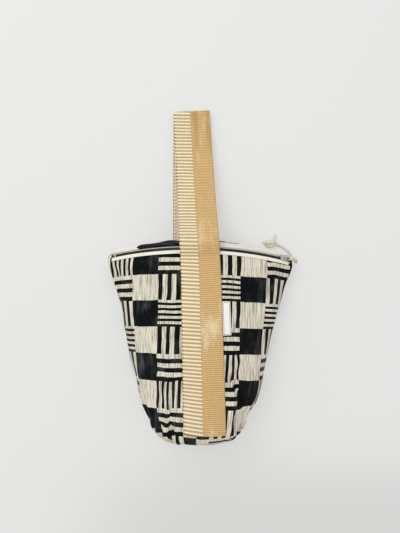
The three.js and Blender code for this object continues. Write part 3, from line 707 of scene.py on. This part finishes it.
# Folds: low waves everywhere, creases where the photograph shows them, and gathers at the bottom end
folds = {
    "wave": 1.3, "waveLength": 42.0, "ripple": 0.5, "rippleLength": 17.0,
    "gather": 1.6, "gatherFrom": 176.0, "gatherPitch": 17.0,
    "seamDepth": 1.1, "seamReach": 2.2, "underDrop": 2.0, "floorGap": 0.35, "seamGap": 0.15,
    # by side, each crease: where it starts and ends, how deep and wide it is, how much cloth it tucks away
    "creases": {
        -1: [
            ((-26, -164), (-34, -218), 2.6, 2.6, 2.4), ((-34, -210), (-24, -232), 2.6, 2.6, 2.0),
            ((-116, -24), (-102, -56), 2.2, 4.6, 0.0), ((-58, -150), (-66, -205), 1.5, 5.0, 0.0),
            ((-50, -196), (-44, -230), 2.0, 3.4, 1.6), ((-88, -96), (-80, -150), 1.0, 6.0, 0.0),
        ],
        1: [
            ((36, -152), (55, -190), 2.6, 2.8, 3.4), ((46, -166), (60, -206), 2.0, 3.0, 1.6),
            ((52, -203), (41, -230), 2.8, 2.8, 2.4), ((93, -20), (91, -56), 2.6, 3.4, 1.0),
            ((84, -100), (78, -150), 1.0, 6.0, 0.0),
        ],
    },
    # by side, each puff: its middle, how far it swells or dents and its reach
    "puffs": {
        -1: [(-36, -226, 3.0, 9.0), (-66, -216, -4.2, 15.0)],
        1: [(44, -224, 3.4, 9.0), (68, -211, -3.8, 12.0), (76, -178, 3.8, 20.0)],
    },
}


def foldedCloth(side):  # the right half, or its mirror with folds of its own
    points, normals = basePoints.copy(), baseNormals.copy()
    points[..., 0] *= side
    normals[..., 0] *= side
    u, v = baseFlat[..., 0], baseFlat[..., 1]
    x, y, z = points[..., 0], points[..., 1], points[..., 2]
    upper = smooth(normals[..., 2], -0.1, 0.35)
    legFront, legBack = fromLegs(x, y)
    free = smooth(np.where(normals[..., 2] > 0, legFront, legBack), 26, 36) * smooth(v, 8, 34)
    spread = np.zeros(x.shape)
    for place in np.ndindex(x.shape):
        spot = Vector((u[place] * side, v[place] * 0.7, 3.0 * side))
        wide = noise.noise(spot / folds["waveLength"])
        fine = noise.noise(Vector((spot.x, spot.y * 0.6, 9.0)) / folds["rippleLength"])
        spread[place] = wide * folds["wave"] * 2 + fine * folds["ripple"] * 2
    gather = smooth(v, folds["gatherFrom"], folds["gatherFrom"] + 35)
    crimp = np.sin(2 * pi * (u / folds["gatherPitch"] + 0.35 * np.sin(v / 14) + 0.2 * side))
    depth = free * (spread + gather * folds["gather"] * np.sign(crimp) * np.abs(crimp) ** 0.8)
    flat = baseFlat.copy()
    for start, end, deep, wide, tuck in folds["creases"][side]:
        start, end = np.array(start, float), np.array(end, float)
        run = end - start
        away = np.stack([x, y], 2) - start
        share = np.clip(away @ run / (run @ run), 0, 1)
        off = away - share[..., None] * run
        distance = norm(off, axis=2)
        signed = (run[0] * off[..., 1] - run[1] * off[..., 0]) / norm(run)
        fade = np.sin(pi * np.clip(share * 0.8 + 0.1, 0, 1))
        bank = 0.55 * np.exp(-(((signed - 1.6 * wide) / wide) ** 2)) * (distance < 4 * wide)
        valley = -np.exp(-((distance / wide) ** 2)) + bank
        depth += deep * valley * fade * upper * smooth(legFront, 25.5, 29)
        slipped = (0.5 + 0.5 * np.tanh(signed / 0.7)) * np.exp(-np.maximum(signed, 0) / 22)
        near = np.exp(-((np.maximum(distance - np.abs(signed), 0) / 5) ** 2))
        flat[..., 1] += tuck * slipped * near * upper
    for middleX, middleY, swell, reach in folds["puffs"][side]:
        off = ((x - middleX) ** 2 + (y - middleY) ** 2) / reach**2
        depth += swell * np.exp(-off) * smooth(normals[..., 2], -0.7, -0.2) * smooth(legFront, 25, 28)
    fromSeams = (u, u.max(1)[:, None] - u)
    seam = sum(folds["seamDepth"] * np.exp(-((far / folds["seamReach"]) ** 2)) for far in fromSeams)
    depth -= seam * smooth(v, 214, 222)
    points += normals * depth[..., None] + sagShift[side]
    low = smooth(legBack, 25.5, 34) * smooth(-normals[..., 2], 0.2, 0.7) * smooth(z, 14, 3)
    points[..., 2] -= folds["underDrop"] * low
    points[..., 2] = np.maximum(points[..., 2], folds["floorGap"])
    points[:, 0, 0] = points[:, -1, 0] = folds["seamGap"] * side
    return points, flat


sagShift = {1: 0.0, -1: 0.0}
sagShift = {side: upsample(half, sag["every"]) for side, half in zip((1, -1), simulateSag())}


def makeCloth():
    for side, half in ((1, "right"), (-1, "left")):
        points, flat = foldedCloth(side)
        if side > 0:
            points, flat = points[:, ::-1], flat[:, ::-1]
        piece = gridPiece(f"cloth_{half}", points, flat)
        thicken(piece, bag["clothThickness"], -1)
        dress(piece, "bag", f"{half}Cloth", [f"body_{half}"], 60)


makeCloth()
print("cloth made")


# Strap: its front leg lies on the smooth bag, so that bag's upper surface is looked up first
def makeBagTree():
    rows, columns = basePoints.shape[:2]
    quads = [
        (corner, corner + 1, corner + columns + 1, corner + columns)
        for row in range(rows - 1) for corner in range(row * columns, (row + 1) * columns - 1)
    ]
    return BVHTree.FromPolygons(basePoints.reshape(-1, 3).tolist(), quads)


bagTree = makeBagTree()


def onTop(x, y):  # a place on the right half, which the left half mirrors
    hit = bagTree.ray_cast(Vector((abs(x), y, 300)), Vector((0, 0, -1)))[0]
    return x, y, hit.z if hit else 0.0


def frontPlace():  # the front leg's lengths and widths, and the point on the bag at each
    lengths = np.linspace(0, strap["frontEnd"], 45)
    wides = np.linspace(-strap["width"] / 2, strap["width"] / 2 + 14, 14)
    sewn, loop = radians(strap["sewnLean"]), radians(strap["loopLean"])
    leans = sewn + (loop - sewn) * np.exp(-lengths / 10)
    moves = np.stack([np.sin(leans[:-1]), -np.cos(leans[:-1])], 1) * np.diff(lengths)[:, None]
    middles = (0, strap["rootY"]) + np.vstack([[0, 0], np.cumsum(moves, axis=0)])
    points = [
        [onTop(*(middle + w * np.array([cos(lean), sin(lean)]))) for w in wides]
        for middle, lean in zip(middles, leans)
    ]
    return lengths, wides, np.array(points)


frontLengths, frontWides, frontGrid = frontPlace()
frontNormals = unit(np.cross(np.gradient(frontGrid, axis=1), -np.gradient(frontGrid, axis=0)))
frontGrid = np.concatenate([frontGrid, frontNormals], 2)


def cell(values, at):  # the step between values in which a place lies, and its share of that step
    k = np.clip(np.searchsorted(values, at) - 1, 0, len(values) - 2)
    return k, (at - values[k]) / (values[k + 1] - values[k])


def onFront(run, w, gap=0.3):  # a place gap above the bag, and the way out there
    (i, s), (j, t) = cell(frontLengths, run), cell(frontWides, w)
    near, far = (frontGrid[k, j] * (1 - t) + frontGrid[k, j + 1] * t for k in (i, i + 1))
    point, normal = np.split(near * (1 - s) + far * s, 2)
    return point + normal * gap, normal


def ribbonPath(points, leans):  # a flat band along a path, whose width turns from lean to lean
    points = np.asarray(points, float)
    reached = reachedAlong(points)
    forward = unit(np.gradient(points, reached, axis=0))
    angles = np.radians(np.interp(reached / reached[-1], np.linspace(0, 1, len(leans)), leans))
    wide = np.stack([np.cos(angles), np.sin(angles), np.zeros(len(angles))], 1)
    out = unit(np.cross(wide, forward))

    def place(run, w):
        point, side, normal = (
            np.array([np.interp(run, reached, values[:, axis]) for axis in range(3)])
            for values in (points, wide, out)
        )
        normal /= norm(normal)
        return point + side * w - normal * strap["thickness"] / 2, normal

    return place, reached[-1]


# A band between two faces. place(run, w) gives the point on its inner face and the way out.
def bandPiece(name, place, length, phase, skew, buckle):
    rows = int(length / strap["rowStep"])
    half, seam = strap["width"] / 2, strap["ribbedTo"]
    places = np.concatenate([
        [-half, -half + 0.3, -half + 0.9], np.linspace(-half + 3, seam - 1.2, 8), [seam - 0.4, seam + 0.4],
        np.linspace(seam + 2, half - 2.5, 9), [half - 0.9, half - 0.3, half],
    ])
    edge = np.clip((half - np.abs(places)) / 0.9, 0, 1)
    roundness = np.sqrt(1 - (1 - edge) ** 2)
    ribbed = smooth(places, seam + 0.2, seam - 0.9) * smooth(places, -half, -half + 1)
    rings, flats = [], []
    for row in range(rows + 1):
        run = length * row / rows
        outer, inner = [], []
        for w, soft, share in zip(places, roundness, ribbed):
            point, normal = place(run, w)
            spot = Vector((w / 21 + run / 60, (run + phase) / 26, 4.0))
            swell = (0.5 + 0.5 * noise.noise(spot)) * sin(pi * run / length) ** 0.4
            point = point + normal * buckle * swell
            turn = (run + phase - skew * w) / strap["ribPitch"]
            rib = (0.5 - 0.5 * cos(2 * pi * turn)) ** 0.6
            thick = strap["thickness"] * (0.55 + 0.45 * soft) + strap["ribHeight"] * rib * share
            outer.append(point + normal * thick)
            inner.append(point + normal * (0.35 * strap["thickness"] * (1 - soft)))
        rings.append(outer + inner[::-1] + [outer[0]])
        under = strap["innerFace"]
        flat = [(w, run + phase - skew * w) for w in places]
        flats.append(flat + [(w + under, ahead) for w, ahead in flat[::-1]] + [(under / 2, run + phase)])
    return rollUp(gridPiece(name, np.array(rings), np.array(flats)))


def drift(y, lean, start):
    return start - tan(radians(lean)) * (y - strap["rootY"])


def makeStrap():
    loop = {
        "far": 187.65, "foldHeight": 6.5, "floor": 1.3, "rootReach": 22, "cutFrom": 110, "dense": 12,
        "upper": [(-1, 55.8), (7, 58.5), (16, 56.1), (45, 38.7), (78, 26.1), (118, 15.3), (155, 9.5)],
        "lower": (140.0, 94.0, 47.0, 0.6), "leg": (-30.0, -90.0, -150.0, -strap["backEnd"]),
    }
    far, floor, lean = loop["far"], loop["floor"], strap["loopLean"]
    half = strap["thickness"] / 2
    sewn = [point + normal * half for point, normal in (onFront(run, 0) for run in (16, 8, 0))]
    upper = [(drift(y, lean, 0), y, z) for y, z in loop["upper"] + [(far - 8, loop["foldHeight"])]]
    radius = (loop["foldHeight"] - floor) / 2
    turn = [
        (drift(far, lean, 0), far + radius * cos(angle), floor + radius + radius * sin(angle))
        for angle in np.linspace(pi / 2, -pi / 2, 7)
    ]
    dense = loop["dense"]
    over = smoothCurve(np.vstack([sewn, upper, turn[:4]]), dense)[2 * dense:]
    loopPlace, loopLength = ribbonPath(over, [lean, lean])

    def onStrap(run, w):  # the sewn leg from the root down, and the free loop before the root
        if run >= 0:
            middle, left, right = strap["endCut"]
            cut = middle + left * max(0.0, -w) / 25 + right * max(0.0, w) / 25
            return onFront(run - cut * float(smooth(run, loop["cutFrom"], strap["frontEnd"])), w)
        point, normal = loopPlace(-run, w)
        rootPoint, rootNormal = loopPlace(0, w)
        sewnPoint, sewnNormal = onFront(0, w)
        share = exp(-((run / loop["rootReach"]) ** 2))
        normal = normal + (sewnNormal - rootNormal) * share
        return point + (sewnPoint - rootPoint) * share, normal / norm(normal)

    front = bandPiece(
        "strap_over_front", lambda run, w: onStrap(run - loopLength, w), loopLength + strap["frontEnd"],
        -loopLength, strap["skew"], strap["buckle"],
    )
    lower = [(drift(y, strap["backLean"], strap["backShift"]), y, floor) for y in (far - 8, *loop["lower"])]
    leg = [(drift(y, strap["sewnLean"], strap["backShift"]), y, floor) for y in loop["leg"]]
    leans = [lean, strap["backLean"], strap["backLean"], strap["sewnLean"], strap["sewnLean"]]
    backPlace, backLength = ribbonPath(smoothCurve(turn[3:] + lower + leg, dense), leans)
    back = bandPiece("strap_under_back", backPlace, backLength, 0.0, -strap["skew"], 0.0)
    for band, leg in ((front, "strap_front_leg"), (back, "strap_back_leg")):
        dress(band, None, "webbing", [leg, "strap_loop"], 50)
    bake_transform(front)
    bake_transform(back)


makeStrap()
print("strap made")


def makeLabel():
    half = label["half"]
    runs = np.linspace(label["top"], label["top"] + label["length"], 60)
    wides = np.linspace(half, half + label["width"], 18)

    def place(run, w):
        point, normal = onFront(run, w, label["gap"])
        return point + normal * label["lift"] * ((w - half) / label["width"]) ** 2

    points = np.array([[place(run, w) for w in wides] for run in runs])
    flat = np.stack(np.meshgrid(wides, runs), 2)
    piece = gridPiece("label_tab", points[:, ::-1], flat[:, ::-1])
    thicken(piece, label["thickness"], 1)
    dress(piece, "bag", "label", ["label"], 50)


makeLabel()
print("label made")

# Mouth: the band along its front edge, and the zip's tapes. Places are across the zip and above it.
mouth = {
    "reach": 117.8, "rows": 150, "bandEdge": 3.3, "bandWidth": 4.8, "bandLevels": (2.35, 3.4), "crown": 0.6,
    "tapeInner": 1.9, "tapeHalf": 0.3, "tapeReach": 8, "tapeBend": 0.7,
}


def sweepZip(name, section):  # a closed section of [across, level] along the zip
    places = np.linspace(-mouth["reach"], mouth["reach"], mouth["rows"] + 1)
    section = np.array(list(section) + [section[0]])
    points = np.stack([zipPoint(x, section[:, 0], section[:, 1]) for x in places])
    flat = np.stack(np.meshgrid(reachedAlong(section), places), 2)
    return rollUp(gridPiece(name, points, flat))


def bandSection():
    low, high = -mouth["bandEdge"] - mouth["bandWidth"], -mouth["bandEdge"]
    bottom, top = mouth["bandLevels"]
    places = np.linspace(low, high, 9)
    share = (places - low) / (high - low)
    levels = top - mouth["crown"] + mouth["crown"] * np.sqrt(np.clip(1 - (2 * share - 1) ** 4, 0, 1))
    return [(low, bottom), *zip(places, levels), (high, bottom)]


def makeMouth():
    dress(sweepZip("mouth_binding", bandSection()), "bag", "binding", ["rim_band"])
    inner, half, bend = mouth["tapeInner"], mouth["tapeHalf"], bag["mouthFlat"] * mouth["tapeBend"]
    for side, fall, word in ((-1, 0.3, "front"), (1, 0.9, "back")):
        drop = fall * (mouth["tapeReach"] - bend)
        outer = bend + (mouth["tapeReach"] - bend) * sqrt(1 - fall**2)
        section = [
            (inner, -half), (inner, half), (bend, half), (outer, half - drop), (outer - half, -half - drop),
            (bend - half, -half),
        ]
        piece = sweepZip(f"tape_{word}", [(side * place, level) for place, level in section])
        dress(piece, "bag", "tape", [f"zip_tape_{word}"])


makeMouth()
print("mouth made")

# Cord: twisted cotton hitched on the slider's ring, with a knot. Places are in the frame's millimetres.
cord = {
    "diameter": 3.6, "strands": 3, "strandDepth": 0.12, "twistLength": 9.0,
    "route": [
        (125.085, 14.565, 24.172), (126.532, 14.394, 23.816), (129.8, 11.42, 17.6), (131.2, 10.42, 11.5),
        (130.4, 12.02, 6.0), (127.6, 17.02, 2.6), (122.8, 24.22, 1.9), (117.2, 28.72, 1.9),
        (111.8, 32.02, 2.0), (105.5, 34.02, 3.2),
    ],
    "end": (106.58, 33.70, 2.98), "length": 0.05594,
    "knot": (95.3, 35.02, 4.0), "knotSize": (2.95, 1.1, -1.75), "knotLift": 0.2,
    "knotFrom": 0.30, "knotTo": 0.62,
    "tail": [(5.0, 4.6, -0.6), (7.2, 8.0, -1.4), (8.4, 12.4, -1.7)],
    "hitch": ((118.042, 15.400, 25.900), (124.796, 14.600, 24.243)), "hitchFrom": 1.4, "hitchLength": 4.0,
    "hitchTurns": 3, "hitchReach": 1.55, "hitchRadius": 1.25,
}


def tubePiece(name, path, radius, around=18):  # a twisted cord; radius goes by share of its length
    path = np.asarray(path, float) - (0, bag["frameShift"], 0)
    reached = reachedAlong(path)
    forward = unit(np.gradient(path, reached, axis=0))
    side = np.cross(forward[0], (0, 0, 1.0))
    angles = np.linspace(0, 2 * pi, around + 1)
    rings, flats = [], []
    for point, ahead, run in zip(path, forward, reached):
        side = side - ahead * (side @ ahead)
        side /= norm(side)
        up = np.cross(ahead, side)
        phase = angles - 2 * pi * run / cord["twistLength"]
        strands = np.abs(np.sin(cord["strands"] * phase / 2)) ** 0.7
        size = radius(run / reached[-1]) * (1 - cord["strandDepth"] + cord["strandDepth"] * strands)
        rings.append(point + np.outer(size * np.cos(angles), side) + np.outer(size * np.sin(angles), up))
        flats.append(np.stack([phase * 0.9, np.full(around + 1, run)], 1))
    return rollUp(gridPiece(name, np.array(rings), np.array(flats)))


def knotPath():  # an overhand knot that enters where the cord ends, and its loose tail
    middle = np.array(cord["knot"])
    turns = np.linspace(cord["knotFrom"], 2 * pi - cord["knotTo"], 90)
    shape = np.stack([
        np.sin(turns) + 2 * np.sin(2 * turns), np.cos(turns) - 2 * np.cos(2 * turns), np.sin(3 * turns),
    ], 1)
    loops = shape * cord["knotSize"] + middle + (0, 0, cord["knotLift"])
    entry = [np.array(cord["end"]) - (0.25, -0.1, -0.1)]
    return smoothCurve(np.vstack([entry, loops[::6], middle + cord["tail"]]), 9)


def hitchPath():  # wraps round the cord's start
    start, end = np.array(cord["hitch"])
    axis = (end - start) / norm(end - start)
    one = np.cross(axis, (0, 0, 1.0))
    one /= norm(one)
    two = np.cross(axis, one)
    turns = np.linspace(0, 2 * pi * cord["hitchTurns"], 90)
    return [
        start + axis * (cord["hitchFrom"] + cord["hitchLength"] * turn / turns[-1])
        + cord["hitchReach"] * (one * cos(turn) + two * sin(turn))
        for turn in turns
    ]


def makeCord():
    half = cord["diameter"] / 2
    dense = smoothCurve(cord["route"], 24)
    distance = norm(dense - np.array(cord["end"]), axis=1)
    dense = dense[:int(distance.argmin()) + 1]
    cable = tubePiece("pull_cord_twist", dense, lambda share: half)
    knot = tubePiece(
        "pull_cord_knotted_end", knotPath(),
        lambda share: half * (1.0 + 0.24 * sin(pi * min(1, share * 1.25))),
    )
    hitch = tubePiece("cord_hitch_wraps", hitchPath(), lambda share: cord["hitchRadius"], 12)
    for piece, node in ((cable, "pull_cord"), (knot, "pull_cord_knot"), (hitch, "cord_hitch")):
        dress(piece, "pull", "cord", [node], 60)


makeCord()
print("cord made")


# Hard parts of the zip keep their solids' shapes, with softened edges
def refine(node, name, body, width):
    source = frame["nodes"][node]
    piece = source.copy()
    piece.data = source.data.copy()
    piece.name = piece.data.name = name
    piece.parent = None
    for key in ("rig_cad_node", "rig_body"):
        del piece[key]
    scene.collection.objects.link(piece)
    openMerged(piece)
    bpy.ops.mesh.dissolve_limited(angle_limit=radians(0.6))
    bpy.ops.object.mode_set(mode="OBJECT")
    edge = piece.modifiers.new("edge", "BEVEL")
    edge.width = width * mm
    edge.segments = 2
    edge.limit_method = "ANGLE"
    edge.angle_limit = radians(35)
    applyModifiers(piece)
    dress(piece, body, "metal", [node], 35)


def makeZipParts():
    refine("zip_slider", "slider_body", "slider", 0.18)
    for stop, width in (("bottom_stop", 0.25), ("top_stop_front", 0.2), ("top_stop_back", 0.2)):
        refine(f"zip_{stop}", f"{stop}_clamp", "bag", width)
    for node, finish in (("zip_teeth_front", "teeth"), ("zip_teeth_back", "teeth"), ("pull_ring", "metal")):
        cover(frame["nodes"][node], finish)


makeZipParts()
print("zip parts made")


# Floor and light: what the camera sees of the floor is part light of its own, so shadows on it stay soft.
# It is dimmed a little at the near right by a painted shade.
def makeStage():
    stage = {
        "size": 60.0, "floor": linear(228, 228, 227), "pale": linear(232, 232, 230),
        "far": linear(218, 218, 216), "own": 0.5, "world": 0.77, "dimmed": 0.87,
        "lampPlace": (-0.55, 0.75, 1.5), "lampSize": 1.3, "lampPower": 11.5,
    }
    deselectAll()
    bpy.ops.mesh.primitive_plane_add(size=stage["size"])
    floor = bpy.context.object
    floor.name = "floor"
    material, make = newMaterial("paleFloor")
    place = make.add("TexCoord").outputs["Object"]
    grain = make.step(make.noise(place, 700.0, 3.0), 0.3, 0.7, 0.995, 1.005)
    x, y, _ = make.axes(place)
    # Painted shade: the floor darkens toward the near right.
    near = make.times(make.step(y, -0.17, -0.38), make.step(x, -0.30, 0.02))
    for value, low, high in ((y, -2.0, -0.5), (x, 2.0, 0.5)):
        near = make.times(near, make.step(value, low, high))
    light = make.times(grain, make.step(near, 0.0, 1.0, 1.0, stage["dimmed"]))
    make.colour(stage["floor"], light)
    make.set("Roughness", 0.9)
    make.set("Specular IOR Level", 0.0)
    pale = make.add("HueSaturation", Value=light, Color=stage["pale"]).outputs[0]
    glow = make.add("Emission", Color=pale, Strength=1.0)
    share = make.times(seenShare(make), stage["own"])
    make.show("Material Output", share, make.shader.outputs[0], glow.outputs[0])
    floor.data.materials.append(material)
    world = bpy.data.worlds.new("studio")
    world.use_nodes = True
    scene.world = world
    make = Nodes(world.node_tree)
    sky = make.tree.nodes["Background"]
    make.put(sky, "Color", (1, 1, 1, 1))
    make.put(sky, "Strength", stage["world"])
    backdrop = make.add("Background", Color=stage["far"], Strength=1.0)
    make.show("World Output", seenShare(make), sky.outputs[0], backdrop.outputs[0])
    lamp = bpy.data.lights.new("softbox", "AREA")
    lamp.energy = stage["lampPower"]
    lamp.size = stage["lampSize"]
    turn = Vector(stage["lampPlace"]).to_track_quat("Z", "Y").to_euler()
    putInScene("softbox", lamp, stage["lampPlace"], turn)
    scene.view_settings.view_transform = "Standard"


def seenShare(make):  # 1 for rays that the camera sees, mirrored ones too
    path = make.add("LightPath")
    seen = make.sum("MAXIMUM", path.outputs["Is Camera Ray"], path.outputs["Is Glossy Ray"])
    return make.sum("MAXIMUM", seen, path.outputs["Is Transmission Ray"])


makeStage()
print("stage made")
